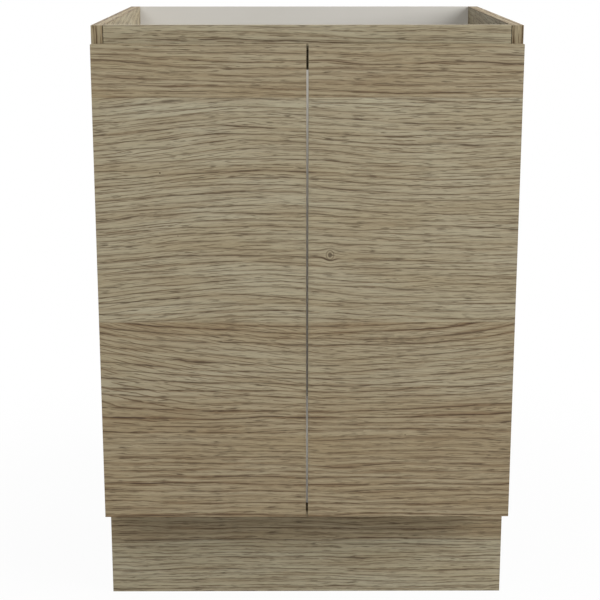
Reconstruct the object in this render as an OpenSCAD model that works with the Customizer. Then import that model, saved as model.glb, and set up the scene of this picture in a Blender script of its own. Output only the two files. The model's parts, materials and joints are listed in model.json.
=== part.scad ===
// Kitchen base cabinet with two doors, open at the top for a worktop.
// X runs across the front, Y from the doors to the back, Z up from the floor.
// The origin is on the floor, below the middle of the whole cabinet.

/* [Carcass] */
// Overall width across the two sides
cabinet_w = 600; // [500:10:900]
// Depth of the sides from front edge to rear edge
side_depth = 540; // [480:10:600]
// Height of the sides
side_h = 720; // [600:10:800]
// Thickness of the sides
side_t = 16; // [16:0.5:19]
// Thickness of the bottom panel
bottom_t = 16; // [16:0.5:19]
// Height of the front rail
rail_h = 61; // [56:1:100]
// Thickness of the front rail
rail_t = 16; // [16:0.5:19]
// Gap between each end of the front rail and its side
rail_gap = 1; // [0.2:0.1:1.5]
// Thickness of the tape on every visible edge
tape_t = 1; // [0.4:0.1:1.5]

/* [Back panel] */
// Thickness of the back panel
back_t = 3; // [2.5:0.5:5]
// Wood left behind the groove of the back panel
back_land = 4; // [3:0.5:20]
// Depth of the groove in each side
groove_depth = 7; // [5:0.5:8]
// Play between the back panel and its groove
groove_play = 0.1; // [0.05:0.05:0.3]

/* [Doors] */
// Thickness of the doors
door_t = 16; // [16:0.5:19]
// Gap between the closed doors and the carcass
door_gap = 2; // [1.6:0.1:3]
// Gap between the two doors
door_middle_gap = 3; // [2:0.5:5]
// Distance of each door's edge from the outer face of its side
door_inset = 0.5; // [0:0.25:2]
// Height of the carcass left open above the doors
door_top_drop = 25; // [0:1:40]
// Height of the doors' lower edge above the carcass's lower edge
door_bottom_rise = 1; // [0:0.5:3]
// Diameter of the soft bumpers behind the doors
bumper_d = 9; // [6:0.5:12]
// Clearance between the bumpers and the carcass
bumper_play = 0.3; // [0.1:0.1:0.5]

/* [Kickboard] */
// Height of the carcass above the floor
plinth_h = 150; // [130:5:180]
// Distance of the kickboard behind the carcass's front
kick_setback = 50; // [40:5:80]
// Thickness of the kickboard
kick_t = 16; // [16:0.5:19]
// Gap between the kickboard and the carcass above it
kick_top_gap = 1; // [0.5:0.5:3]

/* [Hinge cup] */
// Diameter of the cup
cup_d = 35; // [34:0.5:36]
// Distance of the cup's centre from the door's edge
cup_inset = 20.5; // [20:0.5:22.5]
// Depth of the cup below the door's rear face
cup_depth = 12; // [11.6:0.2:13]
// Thickness of the cup's wall and floor
cup_wall = 1; // [0.8:0.1:1.2]
// Width of the cavity between the cup's cheeks
cavity_w = 15.2; // [15:0.2:17]
// Thickness of the cup's flange
flange_t = 1.1; // [0.8:0.1:1.4]
// Spacing of the two cup screws
cup_screw_pitch = 45; // [43:1:52]
// Distance of the cup screws from the cup's centre, away from the door's edge
cup_screw_offset = 9.5; // [5.5:0.5:9.5]
// Distance of each hinge from the door's upper or lower edge
hinge_from_end = 95; // [80:5:140]

/* [Hinge links] */
// Diameter of the link pins
link_pin_d = 2.2; // [2:0.1:2.4]
// Play between a pin and its eye
link_play = 0.1; // [0.05:0.05:0.2]
// Extra play at the inner link's loose eye, for the drift of the linkage
loose_eye_play = 0.7; // [0.7:0.05:0.8]
// Outer diameter of the outer link's eyes
outer_eye_d = 4; // [3.8:0.1:4.4]
// Outer diameter of the inner link's eyes
inner_eye_d = 5.8; // [5.6:0.1:6.2]
// Outer link's arm pivot, from the side's inner face and the carcass's front
outer_arm_pivot = [11.4, 3.7]; // [3:0.1:30]
// Inner link's arm pivot, from the side's inner face and the carcass's front
inner_arm_pivot = [17.5, 25.7]; // [3:0.1:30]
// Outer link's cup pivot, from the cup's centre and the door's rear face
outer_cup_pivot = [-9.2, -3.5]; // [-12:0.1:0]
// Inner link's cup pivot, from the cup's centre and the door's rear face
inner_cup_pivot = [-11.7, -1.7]; // [-12:0.1:0]
// First elbow of the outer link's hook, from the cup's centre and the door's rear face
hook_shoulder = [4.7, -3.3]; // [-8:0.1:8]
// Second elbow of the outer link's hook, from the cup's centre and the door's rear face
hook_elbow = [-2.1, -7.1]; // [-8:0.1:8]
// Elbow of the inner link, from the cup's centre and the door's rear face
inner_elbow = [-6.2, -4.3]; // [-8:0.1:8]
// Width of the outer link over its two plates
outer_link_w = 14; // [13.6:0.1:14.4]
// Thickness of each plate of the outer link
outer_link_t = 1.6; // [1.2:0.1:2]
// Width of the inner link's fork
inner_link_w = 8; // [7.6:0.1:9]
// Thickness of each plate of the inner link's fork
inner_link_t = 1.6; // [1.2:0.1:1.8]

/* [Hinge arm and plate] */
// Width inside the arm's channel
arm_inside_w = 15; // [14.8:0.1:16]
// Sheet thickness of the arm
arm_sheet = 1.5; // [1.2:0.1:2]
// Distance of the arm's rear end behind the carcass's front
arm_reach = 84; // [80:1:100]
// Height of the arm's seat above the side's inner face
arm_seat = 8; // [7:0.5:9]
// Distance of the plate's screws behind the carcass's front
plate_setback = 37; // [35:1:40]
// Spacing of the plate's screws
plate_screw_pitch = 32; // [30:1:36]
// Thickness of the plate's wings
plate_t = 2.2; // [1.8:0.1:3]
// Diameter of the plate screws
plate_screw_d = 5; // [4:0.5:6]

/* [Legs] */
// Distance of the legs' centres from the sides' outer faces
leg_inset_x = 65; // [50:5:100]
// Distance of the rear legs' centres from the sides' rear edges
leg_inset_rear = 120; // [120:5:160]
// Distance of the front legs' centres behind the kickboard
leg_behind_kick = 40; // [38:1:60]
// Diameter of the leg tube
leg_d = 34; // [32:1:38]
// Diameter of the foot's pad
foot_d = 58; // [50:1:64]
// Diameter of the foot's stem
stem_d = 24; // [20:1:25]
// Width of the socket's plate
socket_w = 74; // [66:1:76]
// Thickness of the socket's plate
socket_t = 4; // [3:0.5:6]
// Height of the free stem between the foot and the leg tube
stem_free = 14; // [13:1:20]

/* [Cams and dowels] */
// Diameter of the cams
cam_d = 15; // [12:1:15]
// Height of the cams
cam_h = 12.5; // [12:0.5:13]
// Distance of each cam's centre from the side
cam_reach = 34; // [24:1:40]
// Diameter of the wooden dowels
dowel_d = 8; // [6:1:8]
// Length of the wooden dowels
dowel_l = 30; // [25:5:30]
// Spacing between a cam bolt and the dowel beside it
joint_pitch = 32; // [24:1:40]
// Distance of the first and the last joint from the front and the back panel
joint_inset = 60; // [50:5:70]

/* [Hidden] */

$fn = 48;
LEFT = -1;
RIGHT = 1;
over = 1;
bore_play = 0.1;

oak = "#9d9174";
white_board = "#e6e4df";
steel = "#b9bcc0";
dark_plastic = "#303234";
pale_wood = "#d8bf8e";
clear_plastic = "#dfe3e4";

// The carcass
front_y = -(side_depth - door_gap - door_t) / 2;
rear_y = front_y + side_depth;
top_z = plinth_h + side_h;
inner_w = cabinet_w - 2 * side_t;
back_front = side_depth - back_land - back_t;
bottom_mid_z = plinth_h + bottom_t / 2;
rail_w = inner_w - 2 * rail_gap;
kick_h = plinth_h - kick_top_gap;
kick_rear = kick_setback + kick_t;

// The doors and their hinges, in the frame of a side
door_w = (cabinet_w - 2 * door_inset - door_middle_gap) / 2;
door_bottom = plinth_h + door_bottom_rise;
door_h = side_h - door_top_drop - door_bottom_rise;
door_rear = -door_gap;
door_front = door_rear - door_t;
UPPER = door_bottom + door_h - hinge_from_end;
LOWER = door_bottom + hinge_from_end;
cup_x = door_inset + cup_inset;
floor_y = door_rear - cup_depth;
outer_arm = outer_arm_pivot + [side_t, 0];
inner_arm = inner_arm_pivot + [side_t, 0];
cup_mouth = [cup_x, door_rear];
outer_cup = cup_mouth + outer_cup_pivot;
inner_cup = cup_mouth + inner_cup_pivot;

// Cam joints
bolt_thread_d = 5;
bolt_thread_l = 11;
bolt_shank_d = 6;
bolt_neck_d = 3.4;
bolt_neck_l = 5;
bolt_head_d = 6.4;
bolt_head_l = 3;
cam_slot_w = 7.4;
cross_l = 8;
cross_w = 1.5;
cross_h = 2.5;
dowel_in_side = dowel_l / 3;

// Nails, screws and bumpers
nail_d = 1.6;
nail_l = 18;
nail_head_d = 4;
nail_head_t = 0.8;
nail_count = 5;
cup_screw_d = 3.5;
cup_screw_l = 12;
cup_screw_head_d = 7;
cup_screw_head_h = 1.8;
plate_screw_l = 11;
plate_screw_head_d = 9;
plate_screw_head_h = 2;
arm_screw_d = 4;
arm_screw_l = 5;
arm_screw_head_d = 8;
arm_screw_head_h = 2;
arm_screw_inset = 11;
socket_screw_d = 3.5;
socket_screw_l = 12;
socket_screw_head_d = 7;
socket_screw_head_h = 2;
socket_screw_pitch = 50;
clip_screw_d = 3;
clip_screw_l = 12;
clip_screw_head_d = 6;
clip_screw_head_h = 1.6;
clip_screw_pitch = 30;
bumper_from_edge = 25;
bumper_from_end = 15;

// Hinge details
flange_rim = 2.5;
flange_end_d = 12;
flange_trim = 4;
pin_seat = 2.4;
outer_bar_w = 3;
inner_bar_w = 3.6;
inner_web_w = 3;
lug_boss_d = 4.6;
lug_foot = 6;
link_gap = 0.4;
cheek_lift = 0.4;
arm_eye_rim = 0.7;
arm_knee = 44;
block_front = 28;
wing_d = 14;

// Leg details
socket_corner_r = 10;
socket_play = 0.2;
collar_wall = 4;
collar_h = 26;
gusset_count = 8;
gusset_t = 2.4;
gusset_reach = 14;
gusset_drop = 2;
tube_ring_h = 4;
stem_play = 0.3;
stem_held = 56;
pad_h = 4;
dome_h = 6;
grip_h = 10;
grip_d = 38;
flute_count = 12;
flute_d = 6;
clip_play = 0.2;
clip_wall = 2.4;
clip_h = 14;
clip_mouth = 26;
clip_plate_w = 44;
clip_plate_t = 2.5;

arm_w = arm_inside_w + 2 * arm_sheet;
cavity_r = cup_d / 2 - cup_wall;
lug_w = inner_link_w - 2 * (inner_link_t + link_gap);
inner_nose_d = inner_eye_d + 2 * (link_gap + arm_sheet);
foot_h = pad_h + dome_h + grip_h;
tube_end = foot_h + stem_free;
leg_x = cabinet_w / 2 - leg_inset_x;
front_leg_y = front_y + kick_rear + leg_behind_kick;
rear_leg_y = rear_y - leg_inset_rear;
clip_z = kick_h / 2;

// Placing

// A frame at one side: X inwards from the side's outer face, Y back from the
// carcass's front, Z up from the floor.
module at_side(side) {
    mirror([side == RIGHT ? 1 : 0, 0, 0])
        translate([-cabinet_w / 2, front_y, 0]) children();
}

module at_both_sides() {
    for (side = [LEFT, RIGHT]) at_side(side) children();
}

// A hinge's frame: as at_side, with Z measured from the hinge's middle.
module at_hinge(side, height) {
    at_side(side) translate([0, 0, height]) children();
}

module at_door_hinges(side) {
    for (height = [UPPER, LOWER]) at_hinge(side, height) children();
}

module at_every_hinge() {
    for (side = [LEFT, RIGHT]) at_door_hinges(side) children();
}

// Shared forms

// A rod that starts at the origin and runs along +X.
module rod_x(d, h) {
    rotate([0, 90, 0]) cylinder(d = d, h = h);
}

// A rod that starts at the origin and runs along +Y.
module rod_y(d, h) {
    rotate([-90, 0, 0]) cylinder(d = d, h = h);
}

// A flat bar with round ends between two points.
module bar(from, to, d) {
    run = to - from;
    translate(from) circle(d = d);
    translate(to) circle(d = d);
    translate(from) rotate(atan2(run.y, run.x)) translate([0, -d / 2]) square([norm(run), d]);
}

// Flat bars that follow a line of points.
module chain(points, d) {
    for (i = [1:len(points) - 1]) bar(points[i - 1], points[i], d);
}

// A flat outline made solid, centred on Z = 0.
module slab(thickness) {
    translate([0, 0, -thickness / 2]) linear_extrude(thickness) children();
}

// Two slabs of one outline, with the outer width given over both.
module slab_pair(outer_w, thickness) {
    for (way = [-1, 1])
        translate([0, 0, way * (outer_w - thickness) / 2]) slab(thickness) children();
}

// A screw that points along +Z, with its head below Z = 0.
module screw(d, length, head_d, head_h) {
    cylinder(d = d, h = length);
    translate([0, 0, -head_h]) difference() {
        cylinder(d = head_d, h = head_h);
        for (turn = [0, 90]) rotate(turn)
            translate([-head_d / 4, -head_d / 14, -over])
                cube([head_d / 2, head_d / 7, over + head_h / 2]);
    }
}

// A board's core, inside the tape on its four narrow edges.
module taped_core(width, height, thickness) {
    translate([tape_t, 0, tape_t]) cube([width - 2 * tape_t, thickness, height - 2 * tape_t]);
}

// The four strips of tape round a board.
module tape_frame(width, height, thickness) {
    for (x = [0, width - tape_t]) translate([x, 0, 0]) cube([tape_t, thickness, height]);
    for (z = [0, height - tape_t])
        translate([tape_t, 0, z]) cube([width - 2 * tape_t, thickness, tape_t]);
}

// Sides, bottom and back

module side_panel() {
    color(oak) difference() {
        translate([0, tape_t, plinth_h]) cube([side_t, side_depth - tape_t, side_h - tape_t]);
        back_groove();
        at_bottom_joints() joint_bores_in_side();
        at_rail_joint() joint_bores_in_side();
        for (height = [UPPER, LOWER]) translate([0, 0, height]) at_plate_screws()
            translate([0, 0, -over])
                cylinder(d = plate_screw_d + bore_play, h = plate_screw_l + over);
    }
}

module side_edging() {
    color(oak) {
        translate([0, 0, plinth_h]) cube([side_t, tape_t, side_h - tape_t]);
        difference() {
            translate([0, 0, top_z - tape_t]) cube([side_t, side_depth, tape_t]);
            back_groove();
        }
    }
}

module back_groove() {
    translate([side_t - groove_depth, back_front - groove_play, plinth_h - over])
        cube([groove_depth + over, back_t + 2 * groove_play, side_h + 2 * over]);
}

module bottom_panel() {
    color(white_board) difference() {
        translate([-inner_w / 2, front_y + tape_t, plinth_h])
            cube([inner_w, back_front - tape_t, bottom_t]);
        at_both_sides() at_bottom_joints() joint_bores_in_board(bottom_t);
        at_nails() rod_y(nail_d + bore_play, nail_l + bore_play);
        at_legs() at_socket_screws() socket_screw_bore();
    }
}

module bottom_edging() {
    color(oak) translate([-inner_w / 2, front_y, plinth_h]) cube([inner_w, tape_t, bottom_t]);
}

module back_panel() {
    panel_w = inner_w + 2 * (groove_depth - groove_play);
    color(white_board) difference() {
        translate([-panel_w / 2, front_y + back_front, plinth_h]) cube([panel_w, back_t, side_h]);
        at_nails() translate([0, -over, 0]) rod_y(nail_d + bore_play, back_t + 2 * over);
    }
}

// Each nail's frame lies on the back panel's rear face, with Y into the cabinet.
module at_nails() {
    pitch = inner_w / nail_count;
    for (i = [0:nail_count - 1])
        translate([(i + 0.5) * pitch - inner_w / 2, front_y + back_front + back_t, bottom_mid_z])
            mirror([0, 1, 0]) children();
}

module back_nails() {
    color(steel) at_nails() {
        rod_y(nail_d, nail_l);
        translate([0, -nail_head_t, 0]) rod_y(nail_head_d, nail_head_t);
    }
}

// Front rail

module at_rail() {
    translate([-rail_w / 2, front_y, top_z - rail_h]) children();
}

module front_rail() {
    color(oak) difference() {
        at_rail() taped_core(rail_w, rail_h, rail_t);
        at_both_sides() at_rail_joint() joint_bores_in_board(rail_t);
    }
}

module rail_edging() {
    color(oak) difference() {
        at_rail() tape_frame(rail_w, rail_h, rail_t);
        at_both_sides() at_rail_joint() joint_bores_in_board(rail_t);
    }
}

// Cams, cam bolts and dowels
// A joint's frame lies in the board's middle plane on the side's inner face:
// X along the board, Y from the cam bolt to the dowel, Z out of the cam's face.

module at_bottom_joints() {
    translate([side_t, joint_inset, bottom_mid_z]) mirror([0, 0, 1]) children();
    translate([side_t, back_front - joint_inset, bottom_mid_z]) rotate([180, 0, 0]) children();
}

module at_rail_joint() {
    translate([side_t, rail_t / 2, top_z - (rail_h - joint_pitch) / 2])
        rotate([-90, 0, 0]) children();
}

module joint_bores_in_side() {
    translate([-bolt_thread_l, 0, 0]) rod_x(bolt_thread_d + bore_play, bolt_thread_l + over);
    translate([-dowel_in_side, joint_pitch, 0])
        rod_x(dowel_d + bore_play, dowel_in_side + over);
}

module joint_bores_in_board(thickness) {
    translate([-over, 0, 0]) rod_x(dowel_d + bore_play, cam_reach + over);
    translate([cam_reach, 0, thickness / 2 - cam_h])
        cylinder(d = cam_d + bore_play, h = cam_h + over);
    translate([-over, joint_pitch, 0])
        rod_x(dowel_d + bore_play, dowel_l - dowel_in_side + over);
}

module cam(thickness) {
    translate([cam_reach, 0, thickness / 2 - cam_h]) difference() {
        cylinder(d = cam_d, h = cam_h);
        translate([-cam_d, -cam_slot_w / 2, cam_h - (thickness + cam_slot_w) / 2])
            cube([cam_d + bolt_head_l, cam_slot_w, cam_slot_w]);
        for (turn = [45, 135]) rotate(turn)
            translate([-cross_l / 2, -cross_w / 2, cam_h - cross_h])
                cube([cross_l, cross_w, cross_h + over]);
    }
}

module cam_bolt() {
    shank_l = cam_reach - bolt_neck_l - bolt_head_l / 2;
    translate([-bolt_thread_l, 0, 0]) rod_x(bolt_thread_d, bolt_thread_l);
    rod_x(bolt_shank_d, shank_l);
    translate([shank_l, 0, 0]) rod_x(bolt_neck_d, bolt_neck_l);
    translate([shank_l + bolt_neck_l, 0, 0]) rod_x(bolt_head_d, bolt_head_l);
}

module dowel() {
    translate([-dowel_in_side, joint_pitch, 0]) rod_x(dowel_d, dowel_l);
}

module cams() {
    color(steel) at_both_sides() {
        at_bottom_joints() cam(bottom_t);
        at_rail_joint() cam(rail_t);
    }
}

module cam_bolts() {
    color(steel) at_both_sides() {
        at_bottom_joints() cam_bolt();
        at_rail_joint() cam_bolt();
    }
}

module dowels() {
    color(pale_wood) at_both_sides() {
        at_bottom_joints() dowel();
        at_rail_joint() dowel();
    }
}

// Doors

module at_door(side) {
    at_side(side) translate([door_inset, door_front, door_bottom]) children();
}

module door_panel(side) {
    color(oak) difference() {
        at_door(side) taped_core(door_w, door_h, door_t);
        at_door_hinges(side) {
            translate([cup_x, door_rear - cup_depth, 0])
                rod_y(cup_d + bore_play, cup_depth + over);
            at_cup_screws() translate([0, 0, -over])
                cylinder(d = cup_screw_d + bore_play, h = cup_screw_l + over);
        }
    }
}

module door_edging(side) {
    color(oak) at_door(side) tape_frame(door_w, door_h, door_t);
}

// Soft stops between the door's rear face and the rail or the bottom panel.
module door_bumpers(side) {
    thickness = door_gap - bumper_play;
    color(clear_plastic) for (z = [door_bottom + door_h - bumper_from_end, bottom_mid_z])
        at_side(side) translate([door_inset + door_w - bumper_from_edge, door_rear, z])
            rotate([-90, 0, 0]) rotate_extrude()
                polygon([
                    [0, 0], [bumper_d / 2, 0], [bumper_d / 2, thickness / 2],
                    [bumper_d / 3, thickness], [0, thickness]
                ]);
}

// Hinge cup

// Each screw's frame lies on the door's rear face, with Z into the door.
module at_cup_screws() {
    for (way = [-1, 1])
        translate([cup_x + cup_screw_offset, door_rear, way * cup_screw_pitch / 2])
            rotate([90, 0, 0]) children();
}

module hinge_cup() {
    color(steel) difference() {
        union() {
            translate([cup_x, floor_y, 0]) rod_y(cup_d, cup_depth);
            translate([0, door_rear + flange_t, 0])
                rotate([90, 0, 0]) linear_extrude(flange_t) cup_flange();
        }
        difference() {
            intersection() {
                translate([cup_x, floor_y + cup_wall, 0]) rod_y(2 * cavity_r, cup_depth + over);
                translate([cup_x - cup_d, floor_y, -cavity_w / 2])
                    cube([2 * cup_d, 2 * cup_depth, cavity_w]);
            }
            slab(lug_w) cup_lug();
        }
        for (pivot = [outer_cup, inner_cup]) eye_bore(pivot, bore_play / 2);
        at_cup_screws() translate([0, 0, -flange_t - over])
            cylinder(d = cup_screw_d + bore_play, h = flange_t + 2 * over);
    }
}

// The flange, which leaves the side of the cup near the door's edge free.
module cup_flange() {
    screw_x = cup_x + cup_screw_offset;
    difference() {
        union() {
            translate([cup_x, 0]) circle(d = cup_d + 2 * flange_rim);
            bar([screw_x, -cup_screw_pitch / 2], [screw_x, cup_screw_pitch / 2], flange_end_d);
        }
        translate([cup_x - flange_trim - cup_d, -cup_d]) square([cup_d, 2 * cup_d]);
    }
}

// A lug that stands in the cup and carries the inner link's pin.
module cup_lug() {
    hull() {
        translate(inner_cup) circle(d = lug_boss_d, $fn = 32);
        translate([cup_x - cavity_r - over, floor_y]) square([lug_foot + over, cup_wall]);
    }
}

module cup_screws(side) {
    color(steel) at_door_hinges(side) at_cup_screws() translate([0, 0, -flange_t])
        screw(cup_screw_d, cup_screw_l + flange_t, cup_screw_head_d, cup_screw_head_h);
}

// Links and their pins

module through_pin(pivot, half_l) {
    translate(pivot) cylinder(d = link_pin_d, h = 2 * half_l, center = true);
}

// Two short pins at one pivot, so that the inner link can pass between them.
module stub_pins(pivot, half_l) {
    stub_l = half_l - outer_link_w / 2 + outer_link_t;
    for (way = [-1, 1])
        translate(concat(pivot, [way * (half_l - stub_l / 2)]))
            cylinder(d = link_pin_d, h = stub_l, center = true);
}

module cup_pins(side) {
    color(steel) at_door_hinges(side) {
        stub_pins(outer_cup, cavity_w / 2 + pin_seat);
        through_pin(inner_cup, inner_link_w / 2);
    }
}

module arm_pins() {
    color(steel) at_every_hinge() {
        stub_pins(outer_arm, arm_w / 2);
        through_pin(inner_arm, arm_w / 2);
    }
}

module eye_bore(pivot, play) {
    translate(pivot) cylinder(d = link_pin_d + 2 * play, h = cup_d, center = true);
}

module outer_link() {
    color(steel) difference() {
        slab_pair(outer_link_w, outer_link_t) {
            chain([outer_arm, cup_mouth + hook_shoulder, cup_mouth + hook_elbow, outer_cup],
                outer_bar_w);
            translate(outer_arm) circle(d = outer_eye_d);
            translate(outer_cup) circle(d = outer_eye_d);
        }
        eye_bore(outer_arm, link_play);
        eye_bore(outer_cup, link_play);
    }
}

// A fork: two plates that straddle the cup's lug, joined by a web near the arm.
module inner_link() {
    elbow = cup_mouth + inner_elbow;
    color(steel) difference() {
        union() {
            slab_pair(inner_link_w, inner_link_t) {
                chain([inner_arm, elbow, inner_cup], inner_bar_w);
                translate(inner_arm) circle(d = inner_eye_d);
                translate(inner_cup) circle(d = inner_eye_d);
            }
            slab(inner_link_w) {
                bar(inner_arm, (inner_arm + elbow) / 2, inner_web_w);
                translate(inner_arm) circle(d = inner_eye_d);
            }
        }
        eye_bore(inner_arm, link_play);
        eye_bore(inner_cup, link_play + loose_eye_play);
    }
}

// Arm and mounting plate

// Each screw's frame lies on the side's inner face, with Z into the side.
module at_plate_screws() {
    for (way = [-1, 1])
        translate([side_t, plate_setback, way * plate_screw_pitch / 2])
            rotate([0, -90, 0]) children();
}

// Each screw's frame lies on top of the arm, with Z towards the side.
module at_arm_screws() {
    for (y = [arm_knee + arm_screw_inset, arm_reach - arm_screw_inset])
        translate([side_t + arm_seat + arm_sheet, y, 0]) rotate([0, -90, 0]) children();
}

module hinge_plate() {
    block_w = arm_inside_w - 2 * bore_play;
    color(steel) difference() {
        union() {
            translate([side_t, block_front, -block_w / 2])
                cube([arm_seat, arm_reach - block_front, block_w]);
            translate([side_t + plate_t, plate_setback, 0])
                rotate([0, -90, 0]) linear_extrude(plate_t)
                    bar([-plate_screw_pitch / 2, 0], [plate_screw_pitch / 2, 0], wing_d);
        }
        at_plate_screws() translate([0, 0, -plate_t - over])
            cylinder(d = plate_screw_d + bore_play, h = plate_t + 2 * over);
        at_arm_screws() cylinder(d = arm_screw_d + bore_play, h = arm_sheet + arm_screw_l);
    }
}

// The arm's cheek, seen along the pins.
module arm_cheek() {
    base_x = side_t + plate_t + cheek_lift;
    top_x = side_t + arm_seat + arm_sheet;
    hull() {
        translate(outer_arm) circle(d = outer_eye_d + 2 * arm_eye_rim, $fn = 32);
        translate(inner_arm) circle(d = inner_nose_d, $fn = 32);
        translate([base_x, arm_knee - over]) square([top_x - base_x, over]);
    }
    translate([base_x, arm_knee - over])
        square([top_x - base_x, arm_reach - arm_knee + over]);
}

// The arm's back: flat on the plate's block, then up past the inner pivot's eye.
module arm_back() {
    knee = [side_t + arm_seat + arm_sheet / 2, arm_knee];
    rise = inner_arm - knee;
    outward = [-rise.y, rise.x] / norm(rise);
    translate([knee.x - arm_sheet / 2, arm_knee]) square([arm_sheet, arm_reach - arm_knee]);
    bar(knee, inner_arm + outward * (inner_nose_d - arm_sheet) / 2, arm_sheet);
}

module hinge_arm() {
    color(steel) difference() {
        union() {
            slab_pair(arm_w, arm_sheet) arm_cheek();
            slab(arm_w) arm_back();
        }
        eye_bore(outer_arm, bore_play / 2);
        eye_bore(inner_arm, bore_play / 2);
        at_arm_screws() translate([0, 0, -over])
            cylinder(d = arm_screw_d + bore_play, h = arm_sheet + 2 * over);
    }
}

module arm_screws() {
    color(steel) at_every_hinge() at_arm_screws()
        screw(arm_screw_d, arm_screw_l + arm_sheet, arm_screw_head_d, arm_screw_head_h);
}

module plate_screws() {
    color(steel) at_every_hinge() at_plate_screws() translate([0, 0, -plate_t])
        screw(plate_screw_d, plate_screw_l + plate_t, plate_screw_head_d, plate_screw_head_h);
}

// Legs
// A leg's frame lies on the carcass's underside, with Z down to the floor.

module at_leg(side, y) {
    translate([side * leg_x, y, plinth_h]) mirror([0, 0, 1]) children();
}

module at_legs() {
    for (side = [LEFT, RIGHT], y = [front_leg_y, rear_leg_y]) at_leg(side, y) children();
}

module at_socket_screws() {
    for (x = [-1, 1], y = [-1, 1])
        translate([x, y, 0] * socket_screw_pitch / 2) children();
}

module socket_screw_bore() {
    translate([0, 0, -socket_screw_l])
        cylinder(d = socket_screw_d + bore_play, h = socket_screw_l + socket_t + over);
}

module leg_sockets() {
    corner = socket_w / 2 - socket_corner_r;
    collar_d = leg_d + 2 * (socket_play + collar_wall);
    color(dark_plastic) at_legs() difference() {
        union() {
            linear_extrude(socket_t) {
                for (x = [-corner, corner], y = [-corner, corner])
                    translate([x, y]) circle(r = socket_corner_r);
                square([socket_w, 2 * corner], center = true);
                square([2 * corner, socket_w], center = true);
            }
            cylinder(d = collar_d, h = collar_h);
            for (i = [0:gusset_count - 1])
                rotate((i + 0.5) * 360 / gusset_count) gusset(collar_d / 2);
        }
        translate([0, 0, socket_t]) cylinder(d = leg_d + 2 * socket_play, h = collar_h);
        at_socket_screws() socket_screw_bore();
    }
}

// A web between the socket's plate and its collar.
module gusset(collar_r) {
    rotate([90, 0, 0]) slab(gusset_t) polygon([
        [collar_r - over, 0], [collar_r + gusset_reach, 0],
        [collar_r - over, collar_h - gusset_drop]
    ]);
}

module leg_tubes() {
    color(dark_plastic) at_legs() difference() {
        union() {
            translate([0, 0, socket_t]) cylinder(d = leg_d, h = plinth_h - tube_end - socket_t);
            translate([0, 0, collar_h]) cylinder(d = leg_d + 2 * collar_wall, h = tube_ring_h);
        }
        translate([0, 0, socket_t - over])
            cylinder(d = stem_d + 2 * stem_play, h = plinth_h);
    }
}

module leg_screws() {
    color(steel) at_legs() at_socket_screws() translate([0, 0, socket_t]) mirror([0, 0, 1])
        screw(socket_screw_d, socket_screw_l + socket_t, socket_screw_head_d, socket_screw_head_h);
}

// A foot with its pad on the floor and its stem up in the leg tube.
module foot(side, y) {
    color(dark_plastic) translate([side * leg_x, y, 0]) {
        rotate_extrude() polygon([
            [0, 0], [foot_d / 2 - 1, 0], [foot_d / 2, 1], [foot_d / 2, pad_h],
            [(foot_d + grip_d) / 4 + 2, pad_h + dome_h * 0.7], [grip_d / 2, pad_h + dome_h],
            [0, pad_h + dome_h]
        ]);
        difference() {
            translate([0, 0, pad_h + dome_h]) cylinder(d = grip_d, h = grip_h);
            for (i = [0:flute_count - 1]) rotate(i * 360 / flute_count)
                translate([grip_d / 2 + flute_d / 4, 0, pad_h + dome_h + 1])
                    cylinder(d = flute_d, h = grip_h);
        }
        translate([0, 0, foot_h]) cylinder(d = stem_d, h = stem_free + stem_held);
    }
}

// Kickboard and its clips

module at_kick() {
    translate([-cabinet_w / 2, front_y + kick_setback, 0]) children();
}

module kickboard() {
    color(oak) difference() {
        at_kick() taped_core(cabinet_w, kick_h, kick_t);
        at_clip_screws() translate([0, 0, -over])
            cylinder(d = clip_screw_d + bore_play, h = clip_screw_l + over);
    }
}

module kick_edging() {
    color(oak) at_kick() tape_frame(cabinet_w, kick_h, kick_t);
}

// Each screw's frame lies on the kickboard's rear face, with Z into the board.
module at_clip_screws() {
    for (side = [LEFT, RIGHT], z = [-1, 1])
        translate([side * leg_x, front_y + kick_rear, clip_z + z * clip_screw_pitch / 2])
            rotate([90, 0, 0]) children();
}

// A spring ring that snaps over a front leg, on a plate behind the kickboard.
module kick_clips() {
    ring_r = leg_d / 2 + clip_play;
    color(dark_plastic) difference() {
        for (side = [LEFT, RIGHT]) translate([side * leg_x, front_leg_y, clip_z]) difference() {
            union() {
                cylinder(r = ring_r + clip_wall, h = clip_h, center = true);
                translate([-ring_r / 2, -leg_behind_kick, -clip_h / 2])
                    cube([ring_r, leg_behind_kick, clip_h]);
                translate([-clip_plate_w / 2, -leg_behind_kick, -clip_plate_w / 2])
                    cube([clip_plate_w, clip_plate_t, clip_plate_w]);
            }
            cylinder(r = ring_r, h = clip_h + over, center = true);
            translate([-clip_mouth / 2, 0, -clip_h]) cube([clip_mouth, leg_d, 2 * clip_h]);
        }
        at_clip_screws() translate([0, 0, -clip_plate_t - over])
            cylinder(d = clip_screw_d + bore_play, h = clip_plate_t + 2 * over);
    }
}

module clip_screws() {
    color(steel) at_clip_screws() translate([0, 0, -clip_plate_t])
        screw(clip_screw_d, clip_screw_l, clip_screw_head_d, clip_screw_head_h);
}

// Named pieces

module left_side() { at_side(LEFT) side_panel(); }
module right_side() { at_side(RIGHT) side_panel(); }
module left_side_edging() { at_side(LEFT) side_edging(); }
module right_side_edging() { at_side(RIGHT) side_edging(); }

module left_door() { door_panel(LEFT); }
module right_door() { door_panel(RIGHT); }
module left_door_edging() { door_edging(LEFT); }
module right_door_edging() { door_edging(RIGHT); }
module left_door_bumpers() { door_bumpers(LEFT); }
module right_door_bumpers() { door_bumpers(RIGHT); }
module left_cup_pins() { cup_pins(LEFT); }
module right_cup_pins() { cup_pins(RIGHT); }
module left_cup_screws() { cup_screws(LEFT); }
module right_cup_screws() { cup_screws(RIGHT); }

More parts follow.
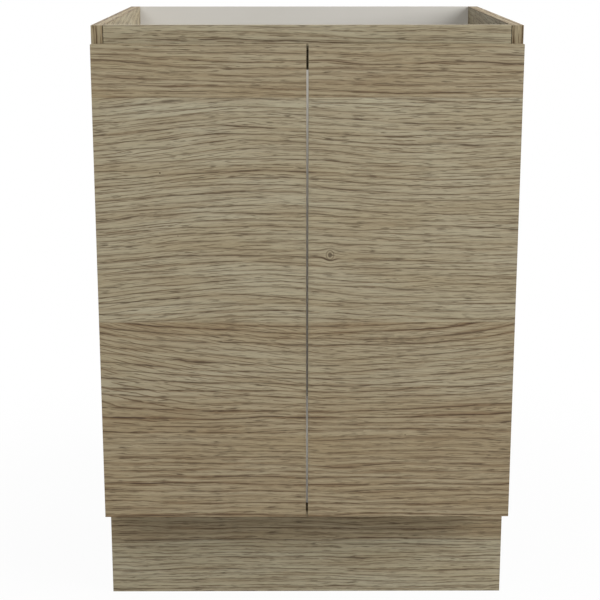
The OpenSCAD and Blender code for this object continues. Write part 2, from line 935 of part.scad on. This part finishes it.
module front_left_foot() { foot(LEFT, front_leg_y); }
module front_right_foot() { foot(RIGHT, front_leg_y); }
module rear_left_foot() { foot(LEFT, rear_leg_y); }
module rear_right_foot() { foot(RIGHT, rear_leg_y); }

left_side();
right_side();
left_side_edging();
right_side_edging();
bottom_panel();
bottom_edging();
back_panel();
back_nails();
front_rail();
rail_edging();
cams();
cam_bolts();
dowels();
left_door();
right_door();
left_door_edging();
right_door_edging();
left_door_bumpers();
right_door_bumpers();
at_hinge(LEFT, UPPER) hinge_cup();  // left_upper_hinge_cup
at_hinge(LEFT, UPPER) hinge_arm();  // left_upper_hinge_arm
at_hinge(LEFT, UPPER) hinge_plate();  // left_upper_hinge_plate
at_hinge(LEFT, UPPER) outer_link();  // left_upper_outer_link
at_hinge(LEFT, UPPER) inner_link();  // left_upper_inner_link
at_hinge(LEFT, LOWER) hinge_cup();  // left_lower_hinge_cup
at_hinge(LEFT, LOWER) hinge_arm();  // left_lower_hinge_arm
at_hinge(LEFT, LOWER) hinge_plate();  // left_lower_hinge_plate
at_hinge(LEFT, LOWER) outer_link();  // left_lower_outer_link
at_hinge(LEFT, LOWER) inner_link();  // left_lower_inner_link
at_hinge(RIGHT, UPPER) hinge_cup();  // right_upper_hinge_cup
at_hinge(RIGHT, UPPER) hinge_arm();  // right_upper_hinge_arm
at_hinge(RIGHT, UPPER) hinge_plate();  // right_upper_hinge_plate
at_hinge(RIGHT, UPPER) outer_link();  // right_upper_outer_link
at_hinge(RIGHT, UPPER) inner_link();  // right_upper_inner_link
at_hinge(RIGHT, LOWER) hinge_cup();  // right_lower_hinge_cup
at_hinge(RIGHT, LOWER) hinge_arm();  // right_lower_hinge_arm
at_hinge(RIGHT, LOWER) hinge_plate();  // right_lower_hinge_plate
at_hinge(RIGHT, LOWER) outer_link();  // right_lower_outer_link
at_hinge(RIGHT, LOWER) inner_link();  // right_lower_inner_link
left_cup_pins();
right_cup_pins();
left_cup_screws();
right_cup_screws();
arm_pins();
arm_screws();
plate_screws();
leg_sockets();
leg_tubes();
leg_screws();
front_left_foot();
front_right_foot();
rear_left_foot();
rear_right_foot();
kickboard();
kick_edging();
kick_clips();
clip_screws();
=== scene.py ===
"""Looks of the kitchen base cabinet: its finishes, the studio round it and the camera.

Lengths are in metres, and places are those of the row frame: x to the right, y back and z up.
"""

import json
import math

import bpy
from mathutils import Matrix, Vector


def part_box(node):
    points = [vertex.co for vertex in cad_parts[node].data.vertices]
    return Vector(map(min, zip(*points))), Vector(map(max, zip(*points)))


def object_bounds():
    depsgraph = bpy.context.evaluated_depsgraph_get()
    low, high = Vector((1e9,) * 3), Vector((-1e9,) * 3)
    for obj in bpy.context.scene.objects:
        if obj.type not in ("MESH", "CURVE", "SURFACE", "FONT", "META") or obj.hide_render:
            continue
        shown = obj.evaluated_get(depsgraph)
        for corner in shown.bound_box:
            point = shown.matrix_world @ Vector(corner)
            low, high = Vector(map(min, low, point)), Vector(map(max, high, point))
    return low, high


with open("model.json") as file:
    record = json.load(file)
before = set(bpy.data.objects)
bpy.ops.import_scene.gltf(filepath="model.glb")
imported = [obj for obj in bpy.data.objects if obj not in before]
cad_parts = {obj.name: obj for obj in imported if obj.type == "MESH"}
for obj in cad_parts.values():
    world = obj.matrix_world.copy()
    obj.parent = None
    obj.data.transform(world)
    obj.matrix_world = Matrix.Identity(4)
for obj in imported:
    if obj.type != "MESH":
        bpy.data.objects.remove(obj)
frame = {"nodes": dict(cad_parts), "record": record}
cad_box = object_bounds()
nodes = frame["nodes"]
slot_of = {part["node"]: part["material_slot"] for part in frame["record"]["subparts"]}

X, Y, Z = range(3)
HIGHEST = 1
SIDE_TOP = cad_box[HIGHEST][Z]
DOOR_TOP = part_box("left_door_edging")[HIGHEST][Z]


# Node trees

class Tree:
    """Short calls for the nodes of one tree."""

    def __init__(self, tree):
        self.tree = tree
        tree.nodes.clear()

    def node(self, kind, values=None, **settings):
        """A node with these settings. The values go to its sockets, as links or as constants."""
        made = self.tree.nodes.new(kind)
        for name, value in settings.items():
            setattr(made, name, value)
        for name, value in (values or {}).items():
            if isinstance(value, bpy.types.NodeSocket):
                self.tree.links.new(value, made.inputs[name])
            else:
                made.inputs[name].default_value = value
        return made

    def math(self, operation, *values):
        return self.node("ShaderNodeMath", dict(enumerate(values)), operation=operation).outputs[0]

    def joined(self, operation, values):
        """The values, joined one after another by this operation."""
        made = values[0]
        for value in values[1:]:
            made = self.math(operation, made, value)
        return made

    def plus(self, *values):
        return self.joined("ADD", values)

    def times(self, *values):
        return self.joined("MULTIPLY", values)

    def most(self, *values):
        return self.joined("MAXIMUM", values)

    def minus(self, value, other):
        return self.math("SUBTRACT", value, other)

    def scaled(self, vector, factors):
        values = {0: vector, 1: factors}
        return self.node("ShaderNodeVectorMath", values, operation="MULTIPLY").outputs[0]

    def xyz(self, vector):
        return self.node("ShaderNodeSeparateXYZ", {0: vector}).outputs

    def vector(self, x=0.0, y=0.0, z=0.0):
        return self.node("ShaderNodeCombineXYZ", {0: x, 1: y, 2: z}).outputs[0]

    def noise(self, vector, size, detail=2.0, roughness=0.5):
        """Noise with lumps of about this size, which is given once or along each axis."""
        sizes = size if isinstance(size, tuple) else (size, size, size)
        at = self.scaled(vector, tuple(1 / s for s in sizes))
        values = {"Vector": at, "Scale": 1.0, "Detail": detail, "Roughness": roughness}
        return self.node("ShaderNodeTexNoise", values).outputs[0]

    def span(self, value, low, high, to_low=0.0, to_high=1.0, smooth=False):
        """The value, mapped from low..high to to_low..to_high and held there."""
        kind = "SMOOTHSTEP" if smooth else "LINEAR"
        values = {"Value": value, 1: low, 2: high, 3: to_low, 4: to_high}
        return self.node("ShaderNodeMapRange", values, interpolation_type=kind).outputs[0]

    def mix(self, factor, a, b, blend="MIX"):
        values = {0: factor, 6: a, 7: b}
        return self.node("ShaderNodeMix", values, data_type="RGBA", blend_type=blend).outputs[2]

    def mix_vectors(self, factor, a, b):
        return self.node("ShaderNodeMix", {0: factor, 4: a, 5: b}, data_type="VECTOR").outputs[1]

    def hill(self, distance):
        """A bell: one where the distance is zero, and falling to zero on both sides."""
        return self.math("EXPONENT", self.times(distance, distance, -1.0))

    def bump(self, height, distance):
        return self.node("ShaderNodeBump", {"Height": height, "Distance": distance}).outputs[0]

    def finish(self, **values):
        """The one shader of a material, with these values on its sockets."""
        sockets = {name.replace("_", " "): value for name, value in values.items()}
        shader = self.node("ShaderNodeBsdfPrincipled", sockets)
        self.node("ShaderNodeOutputMaterial", {0: shader.outputs[0]})


def rgb(red, green, blue):
    """A colour given in the 0 to 255 values that a screen shows."""
    def linear(value):
        value /= 255
        return value / 12.92 if value <= 0.04045 else ((value + 0.055) / 1.055) ** 2.4
    return (linear(red), linear(green), linear(blue), 1.0)


def toned(color, factor, lift=0.0):
    """The colour, made darker or lighter by this factor and lifted by a little."""
    return tuple(min(part * factor + lift, 1) for part in color[:3]) + (1.0,)


def material(name):
    """A new material and its tree, still empty."""
    made = bpy.data.materials.new(name)
    made.use_nodes = True
    return made, Tree(made.node_tree)


def node_group(name, inputs, outputs):
    """A new node group and its tree. The sockets are given as a name and a kind each."""
    made = bpy.data.node_groups.new(name, "ShaderNodeTree")
    for way, sockets in (("INPUT", inputs), ("OUTPUT", outputs)):
        for socket, kind in sockets.items():
            made.interface.new_socket(socket, in_out=way, socket_type="NodeSocket" + kind)
    return made, Tree(made)


def place(t):
    """The place in the row frame, which stays with a piece as it moves."""
    return t.node("ShaderNodeTexCoord").outputs["Object"]


def outward(t, axis):
    """How far the face looks along this axis, from -1 to 1."""
    return t.xyz(t.node("ShaderNodeTexCoord").outputs["Normal"])[axis]


def facing(t, axis):
    """One on the faces that look along this axis, either way, and zero on the others."""
    return t.span(t.math("ABSOLUTE", outward(t, axis)), 0.6, 0.7)


# Boards

CHIPS_PER_METRE = 480
CHIP_PALE, CHIP_DARK, FLAKE = rgb(186, 162, 124), rgb(154, 127, 92), rgb(108, 84, 57)
CORE_ROUGHNESS = 0.88


def chips(t):
    """The raw core of a board, pressed from chips: its colour, and how high each chip stands."""
    at = place(t)
    cells = t.scaled(at, (CHIPS_PER_METRE, CHIPS_PER_METRE, CHIPS_PER_METRE))
    cell = t.node("ShaderNodeTexVoronoi", {"Vector": cells, "Scale": 1.0})
    tone = t.xyz(cell.outputs["Color"])[0]
    flakes = t.span(t.noise(at, 0.0024), 0.56, 0.62)
    return t.mix(t.times(flakes, 0.6), t.mix(tone, CHIP_PALE, CHIP_DARK), FLAKE), tone


def over_core(t, skin, color, roughness, height):
    """The colour, roughness and height of a decor, with chips in its place where skin is zero."""
    core, tone = chips(t)
    bare = t.minus(1.0, skin)
    return (t.mix(skin, core, color),
            t.most(roughness, t.times(bare, CORE_ROUGHNESS)),
            t.plus(t.times(height, skin), t.times(tone, bare)))


# Oak decor

OAK_PALE, OAK_WARM, OAK_BAND = rgb(160, 153, 130), rgb(153, 143, 117), rgb(141, 128, 102)
OAK_SHADE, OAK_LINE = rgb(119, 101, 77), rgb(69, 54, 38)
OAK_THIN_LINE, OAK_PORE, OAK_KNOT = rgb(89, 70, 49), rgb(74, 60, 43), rgb(84, 72, 55)
LEFT_BY_BROWN = (0.87, 0.80, 0.73, 1.0)  # the share of red, green and blue that a brown field keeps
LINE_PITCH, THIN_LINE_PITCH = 0.0100, 0.0050
OAK_RELIEF = 0.00008
FACE_GLOSS, TAPE_GLOSS = 0.28, 0.10


def oak_group():
    """The decor at a Place of (along the grain, across it, depth). Drift and Cross lift the growth
    lines and the thinner lines that cross them, and Brown is how brown the board is."""
    group, t = node_group(
        "oak", {"Place": "Vector", "Drift": "Float", "Cross": "Float", "Brown": "Float"},
        {"Color": "Color", "Height": "Float", "Roughness": "Float"})
    given = t.node("NodeGroupInput").outputs
    at = given["Place"]
    along, across, depth = t.xyz(at)

    def wave(size, height, detail=1.0):
        return t.times(t.minus(t.noise(at, size, detail), 0.5), height)

    def lines(level, pitch, uneven):
        """Lines about one pitch apart: how near each place is to one, how strong that line is,
        and the place along the grain."""
        grain = t.vector(along, level, depth)
        lag = t.times(t.minus(t.noise(grain, (0.22, 0.025, 1)), 0.5), uneven)
        count = t.plus(t.math("DIVIDE", level, pitch), lag)
        off = t.math("ABSOLUTE", t.minus(t.math("FRACT", count), 0.5))
        number = t.math("FLOOR", count)
        chance = t.node("ShaderNodeTexWhiteNoise", {"W": number}, noise_dimensions="1D").outputs[0]
        return off, t.span(chance, 0.0, 1.0, 0.50, 1.0), grain

    drift = t.plus(wave((0.40, 0.15, 1), 0.016), wave((0.13, 0.040, 1), 0.0036),
                   wave((0.032, 0.010, 1), 0.0016, 2.0))
    level = t.minus(t.plus(across, drift), given["Drift"])

    # Growth lines: a dark core that breaks along the grain, in a soft shade
    off, strength, grain = lines(level, LINE_PITCH, 1.7)
    core = t.times(t.span(off, 0.035, 0.085, 1.0, 0.0), strength,
                   t.span(t.noise(grain, (0.040, 0.0034, 1), 3.0), 0.38, 0.50))
    shade = t.times(t.span(off, 0.05, 0.40, 1.0, 0.0, smooth=True), strength,
                    t.span(t.noise(grain, (0.07, 0.0035, 1), 3.0), 0.34, 0.58),
                    t.span(given["Brown"], 0.2, 1.0, 0.85, 1.40))

    # Thin lines, which cross the growth lines at a small angle
    crossing = t.minus(t.plus(level, wave((0.20, 0.05, 1), 0.010)), given["Cross"])
    off, strength, crossed = lines(crossing, THIN_LINE_PITCH, 1.6)
    thin = t.times(t.span(off, 0.05, 0.15, 1.0, 0.0), strength,
                   t.span(t.noise(crossed, (0.032, 0.0026, 1), 3.0), 0.43, 0.51))

    pores = t.times(t.span(t.noise(grain, (0.020, 0.0011, 1), 1.0), 0.54, 0.64),
                    t.span(t.noise(grain, (0.050, 0.006, 1), 1.0), 0.42, 0.58))
    fibres = t.noise(grain, (0.018, 0.0013, 1), 4.0, 0.75)
    bands = t.noise(grain, (0.15, 0.012, 1))
    clouds = t.noise(grain, (0.26, 0.040, 1))

    color = t.mix(t.span(clouds, 0.34, 0.66), OAK_PALE, OAK_WARM)
    color = t.mix(t.span(bands, 0.46, 0.66, 0.0, 0.55), color, OAK_BAND)
    color = t.mix(t.times(shade, 0.72), color, OAK_SHADE)
    color = t.mix(t.times(thin, 0.92), color, OAK_THIN_LINE)
    color = t.mix(t.times(pores, 0.75), color, OAK_PORE)
    color = t.mix(core, color, OAK_LINE)
    color = t.mix(1.0, color, t.span(fibres, 0.30, 0.70, 0.84, 1.16), "MULTIPLY")
    color = t.mix(given["Brown"], color, t.mix(1.0, color, LEFT_BY_BROWN, "MULTIPLY"))

    height = t.minus(t.times(fibres, 0.25), t.most(core, t.times(pores, 0.7)))
    roughness = t.span(fibres, 0.2, 0.8, 0.56, 0.68)
    t.node("NodeGroupOutput", {0: color, 1: height, 2: roughness})
    return group


OAK = oak_group()


def plain_figure(brown):
    """Straight grain without spots, equally brown all over."""
    return lambda t, x, y, z: (0.0, 0.0, brown, None)


def oak(name, mapped, figure, board=None, gloss=FACE_GLOSS):
    """Oak decor. mapped turns x, y and z into (along, across, depth), and figure gives the drift,
    cross, brown and spots there. board is the axis along which a board's two faces look: its other
    faces are sawn and bare."""
    made, t = material(name)
    at = t.xyz(place(t))
    drift, cross, brown, spots = figure(t, *at)
    given = {"Place": mapped(t, *at), "Drift": drift, "Cross": cross, "Brown": brown}
    grain = t.node("ShaderNodeGroup", given, node_tree=OAK).outputs
    color, height, roughness = grain["Color"], grain["Height"], grain["Roughness"]
    if spots is not None:
        color = t.mix(spots, color, OAK_KNOT)
    if board is not None:
        color, roughness, height = over_core(t, facing(t, board), color, roughness, height)
    t.finish(Base_Color=color, Roughness=roughness, Normal=t.bump(height, OAK_RELIEF),
             Specular_IOR_Level=gloss)
    return made


# The way the grain runs. The third number keeps the pattern of one board apart from another's.

def upright(t, x, y, z):
    return t.vector(z, t.plus(x, y), 6.0)


def across_front(t, x, y, z):
    return t.vector(x, t.plus(z, y), 0.0)


def around_front(t, x, y, z):
    """Grain across the front, and upright on the tapes of the upright edges."""
    return t.mix_vectors(facing(t, X), across_front(t, x, y, z), upright(t, x, y, z))


def edge_grain(t, x, y, z):
    """Upright grain on the front edge of a side, and grain that runs back along its top."""
    return t.mix_vectors(facing(t, Z), upright(t, x, y, z), t.vector(y, t.plus(z, x), 8.0))


def along_side(t, x, y, z):
    """Grain that runs back along a side. Its lines mirror each other about a heart just under the
    top, and they slope more on the left side than on the right one."""
    off = t.minus(z, SIDE_TOP - 0.023)
    spread = t.math("SQRT", t.plus(t.times(off, off), 0.00005))
    lean = t.times(y, t.span(x, -0.1, 0.1, 0.12, 0.03))
    return t.vector(y, t.minus(lean, spread), t.times(x, 10.0))


# The fronts, whose decor is measured down from the top of the doors

# The kickboard seam ends the brown band on the top of the kickboard, which is partly the decor and
# partly painted shade under the doors.
UPPER_SEAM, LOWER_SEAM, KICK_DECOR_AND_SHADE_SEAM = 0.073, 0.3953, 0.758

# Each spot is its x, how far down it is, and half its width and height. Specks say how dark.
KNOT = (0.0324, 0.2963, 0.0034, 0.0042)
ROUGH_PATCH = (0.125, 0.4225, 0.050, 0.0105)
SPECKS = {(-0.2071, 0.1783, 0.0013, 0.0013): 1.0,
          (-0.1835, 0.2685, 0.0010, 0.0010): 0.6,
          (0.1440, 0.5660, 0.0010, 0.0010): 0.8}


def under(t, down, seam, blur=0.0005):
    """One under a seam, and zero over it."""
    return t.span(down, seam - blur, seam + blur)


def away(t, x, down, spot):
    """How far a place is from a spot, in the spot's own half sizes, and how far above it."""
    at_x, at_down, half_width, half_height = spot
    right = t.times(t.minus(x, at_x), 1 / half_width)
    up = t.times(t.minus(at_down, down), 1 / half_height)
    return t.math("SQRT", t.plus(t.times(right, right), t.times(up, up))), up


def front_spots(t, x, down, z):
    """How dark a place is by the knot with its ring, the specks and the rough patch."""
    knot, patch = (away(t, x, down, spot)[0] for spot in (KNOT, ROUGH_PATCH))
    heart = t.span(knot, 0.65, 1.05, 0.90, 0.0)
    ring = t.times(t.span(knot, 1.25, 1.50), t.span(knot, 1.60, 1.95, 0.60, 0.0))
    specks = [t.span(away(t, x, down, spot)[0], 0.7, 1.2, dark, 0.0)
              for spot, dark in SPECKS.items()]
    streaks = t.span(t.noise(t.vector(x, z), (0.018, 0.0035, 1), 3.0), 0.48, 0.56)
    return t.most(heart, ring, *specks, t.times(t.hill(patch), streaks, 0.55))


def front_brown(t, down, top, upper, lower):
    """How brown the decor is. It is browner on the doors over the upper seam, for a hand's breadth
    under the lower one, and it grows browner and darker from the lower part of the doors down to
    the seam of the kickboard. On the top of the kickboard that brown band is partly the decor and
    partly painted shade, standing in for the shadow under the doors' overhang."""
    on_door = t.span(down, -0.002, 0.0)
    low = t.span(down, 0.445, 0.545, smooth=True)
    brown = t.plus(t.times(top, t.span(down, UPPER_SEAM, 0.005, 0.90, 0.45), on_door),
                   t.times(upper, t.span(down, 0.085, 0.105, 0.0, 0.22)),
                   t.times(lower, t.span(down, 0.445, 0.403, 0.42, 1.0)))
    # Brown stops under the kickboard seam; the band above it on the kickboard is partly decor and
    # partly painted shade.
    return t.times(t.most(brown, low), t.minus(1.0, under(t, down, KICK_DECOR_AND_SHADE_SEAM, 0.002)))


def front_figure(t, x, y, z):
    """The grain of the fronts: a slight slope over the upper seam, an arch between the seams with
    a knot that it bends round, and slanted lines under them."""
    down = t.minus(DOOR_TOP, z)
    lower = under(t, down, LOWER_SEAM)
    upper = t.times(under(t, down, UPPER_SEAM), t.minus(1.0, lower))
    top = t.minus(1.0, under(t, down, UPPER_SEAM))
    slanted = t.times(lower, t.span(down, 0.585, 0.435, smooth=True))

    arch = t.hill(t.times(t.plus(x, 0.07), 5.0))
    knot, above_knot = away(t, x, down, KNOT)
    bend = t.hill(t.times(knot, 0.36))
    drift = t.plus(t.times(arch, 0.015, upper), t.times(x, x, 0.24, slanted),
                   t.times(x, -0.022, top), t.times(above_knot, bend, 0.0030))
    cross = t.plus(t.times(x, 0.055, upper), t.times(x, -0.12, slanted))
    return drift, cross, front_brown(t, down, top, upper, lower), front_spots(t, x, down, z)


def tape_figure(t, x, y, z):
    """The grain of the fronts on their tapes, but plain on the upright edges."""
    drift, cross, brown, spots = front_figure(t, x, y, z)
    edge = facing(t, X)
    rest = t.minus(1.0, edge)
    return (t.times(drift, rest), t.times(cross, rest),
            t.plus(t.times(brown, rest), t.times(edge, 0.5)), spots)


# Other finishes

PEARL = 0.0012
WHITE_RELIEF = 0.00006


def steel(name, color, smooth, rough):
    """Plated steel, with dull and bright blotches and a brushed grain."""
    made, t = material(name)
    at = place(t)
    blotch = t.noise(at, 0.006, 3.0)
    brushed = t.noise(at, (0.0004, 0.0004, 0.008))
    t.finish(Base_Color=t.mix(t.span(blotch, 0.3, 0.7), color, toned(color, 0.86)), Metallic=1.0,
             Roughness=t.span(blotch, 0.25, 0.75, smooth, rough), Normal=t.bump(brushed, 0.00002))
    return made


def plastic(name, color, rough, grain):
    """Moulded plastic with a fine grain, worn a little lighter in places."""
    made, t = material(name)
    at = place(t)
    fine = t.noise(at, grain, 3.0, 0.6)
    wear = t.noise(at, 0.03)
    t.finish(Base_Color=t.mix(t.span(wear, 0.3, 0.7), color, toned(color, 1.25, 0.003)),
             Roughness=t.span(fine, 0.2, 0.8, rough - 0.08, rough + 0.08),
             Normal=t.bump(fine, grain * 0.12))
    return made


def clear(name):
    """Clear soft plastic with a slight haze."""
    made, t = material(name)
    haze = t.noise(place(t), 0.002)
    t.finish(Base_Color=t.mix(haze, rgb(232, 235, 235), rgb(214, 220, 220)),
             Transmission_Weight=0.6, IOR=1.46, Roughness=t.span(haze, 0.3, 0.7, 0.18, 0.34))
    return made


def beech(name):
    """Beech with short dark flecks. Its grain runs along x, as the dowels do."""
    made, t = material(name)
    at = place(t)
    grain = t.noise(at, (0.03, 0.0012, 0.0012), 3.0)
    flecks = t.span(t.noise(at, (0.003, 0.0005, 0.0005), 1.0), 0.62, 0.70)
    color = t.mix(t.span(grain, 0.3, 0.7), rgb(222, 194, 152), rgb(196, 162, 118))
    t.finish(Base_Color=t.mix(t.times(flecks, 0.5), color, rgb(150, 112, 74)), Roughness=0.6,
             Normal=t.bump(grain, 0.00006))
    return made


def pearly(t):
    """The fine grain of a white surface, and its roughness."""
    pearl = t.noise(place(t), PEARL, 3.0, 0.6)
    return pearl, t.span(pearl, 0.25, 0.75, 0.42, 0.56)


def melamine(name):
    """A white board: white above and below, with bare chips at its sawn edges."""
    made, t = material(name)
    pearl, roughness = pearly(t)
    tone = t.noise(place(t), 0.20)
    color = t.mix(t.span(tone, 0.3, 0.7), rgb(213, 211, 205), rgb(209, 206, 200))
    color, roughness, height = over_core(t, facing(t, Z), color, roughness, pearl)
    t.finish(Base_Color=color, Roughness=roughness, Normal=t.bump(height, WHITE_RELIEF))
    return made


def hardboard(name):
    """The thin back: white inside, and bare brown fibre behind."""
    made, t = material(name)
    at = place(t)
    pearl, roughness = pearly(t)
    fibre = t.noise(at, 0.0035, 4.0, 0.7)
    blotch = t.noise(at, 0.12, 3.0)
    inside = t.span(outward(t, Y), -0.7, -0.6, 1.0, 0.0)
    brown = t.mix(t.span(fibre, 0.35, 0.65), rgb(152, 124, 92), rgb(128, 102, 74))
    brown = t.mix(1.0, brown, t.span(blotch, 0.3, 0.7, 0.88, 1.10), "MULTIPLY")
    white = t.mix(t.span(blotch, 0.3, 0.7), rgb(208, 205, 199), rgb(205, 202, 195))
    t.finish(Base_Color=t.mix(inside, brown, white),
             Roughness=t.most(roughness, t.span(inside, 0.0, 1.0, 0.80, 0.0)),
             Normal=t.bump(t.plus(pearl, fibre), WHITE_RELIEF))
    return made


# The finish of each material slot, and of the pieces that differ from their slot
oak_side = oak("oak_side", along_side, plain_figure(0.35), board=X)
side_tape = oak("side_tape", edge_grain, plain_figure(0.9), gloss=TAPE_GLOSS)
finishes = {
    "oak_board": oak("oak_front", across_front, front_figure, board=Y),
    "oak_tape": oak("oak_tape", around_front, tape_figure, gloss=TAPE_GLOSS),
    "white_board": melamine("melamine"),
    "nickel_steel": steel("nickel", (0.62, 0.61, 0.58, 1.0), 0.20, 0.34),
    "steel": steel("zinc", (0.58, 0.59, 0.60, 1.0), 0.28, 0.46),
    "black_plastic": plastic("black_plastic", (0.018, 0.018, 0.020, 1.0), 0.48, 0.0007),
    "clear_plastic": clear("clear"),
    "beech": beech("beech_wood"),
}
special = {
    "left_side": oak_side,
    "right_side": oak_side,
    "left_side_edging": side_tape,
    "right_side_edging": side_tape,
    "back_panel": hardboard("hardboard"),
}
for name, node in nodes.items():
    node.data.materials.clear()
    node.data.materials.append(special.get(name, finishes[slot_of[name]]))


# Studio

WHITE = (1, 1, 1, 1)
SKY_LIGHT = 0.04
FLOOR_SIZE = 14
AIM = Vector((0, 0, 0.45))


def seen(t):
    """One for what the camera sees, straight, in a reflection or through glass."""
    rays = t.node("ShaderNodeLightPath").outputs
    return t.most(rays["Is Camera Ray"], rays["Is Glossy Ray"], rays["Is Transmission Ray"])


def studio_world():
    """A background that looks white, but lights the cabinet only faintly."""
    made = bpy.data.worlds.new("studio")
    made.use_nodes = True
    t = Tree(made.node_tree)
    strength = t.span(seen(t), 0.0, 1.0, SKY_LIGHT, 1.0)
    sky = t.node("ShaderNodeBackground", {"Color": WHITE, "Strength": strength})
    t.node("ShaderNodeOutputWorld", {0: sky.outputs[0]})
    return made


def floor_paper():
    """Pale paper that keeps a soft shadow near the cabinet, and looks white farther out."""
    made, t = material("floor_paper")
    at = place(t)
    paper = t.mix(t.noise(at, 0.6), rgb(202, 202, 201), rgb(206, 206, 205))
    matt = t.node("ShaderNodeBsdfDiffuse", {"Color": paper})
    glow = t.node("ShaderNodeEmission", {"Color": WHITE, "Strength": 1.0})
    far = t.node("ShaderNodeVectorMath", {0: at}, operation="LENGTH").outputs["Value"]
    white = t.times(seen(t), t.span(far, 0.4, 1.1, 0.96, 1.0, smooth=True))
    both = t.node("ShaderNodeMixShader", {0: white, 1: matt.outputs[0], 2: glow.outputs[0]})
    t.node("ShaderNodeOutputMaterial", {0: both.outputs[0]})
    return made


def lamp(name, azimuth, elevation, distance, size, power):
    """A soft rectangle of light aimed at the cabinet. Azimuth 0 is in front and 90 at its right."""
    data = bpy.data.lights.new(name, "AREA")
    data.shape = "RECTANGLE"
    data.size, data.size_y = size
    data.energy = power
    made = bpy.data.objects.new(name, data)
    bpy.context.scene.collection.objects.link(made)
    turn, lift = math.radians(azimuth), math.radians(elevation)
    way = Vector((math.sin(turn) * math.cos(lift), -math.cos(turn) * math.cos(lift),
                  math.sin(lift)))
    made.location = AIM + distance * way
    made.rotation_mode = "QUATERNION"
    made.rotation_quaternion = (-way).to_track_quat("-Z", "Y")


bpy.context.scene.world = studio_world()
bpy.ops.mesh.primitive_plane_add(size=FLOOR_SIZE)
floor = bpy.context.object
floor.name = "floor"
floor.data.materials.append(floor_paper())

lamp("right_box", 63, 25, 9.0, (6.2, 6.2), 1050)
lamp("left_box", -35, 38, 6.0, (3.6, 2.8), 120)
lamp("rear_right_box", 145, 30, 6.0, (3.0, 3.0), 95)
lamp("rear_left_box", -155, 30, 6.0, (3.0, 3.0), 65)
lamp("top_box", 0, 88, 5.0, (4.0, 4.0), 105)


# Camera, fitted to the edges of the cabinet in the photograph

CAMERA_PLACE = (-0.02123, -2.36308, 0.99548)
DEGREES_DOWN, DEGREES_RIGHT = 13.82, 0.30
SENSOR_MM, FOCAL_MM = 36, 89.78

camera_data = bpy.data.cameras.new("camera")
camera_data.sensor_width = SENSOR_MM
camera_data.lens = FOCAL_MM
camera = bpy.data.objects.new("camera", camera_data)
bpy.context.scene.collection.objects.link(camera)
camera.location = CAMERA_PLACE
camera.rotation_euler = (math.radians(90 - DEGREES_DOWN), 0, math.radians(-DEGREES_RIGHT))
bpy.context.scene.camera = camera
bpy.context.scene.view_settings.view_transform = "Standard"
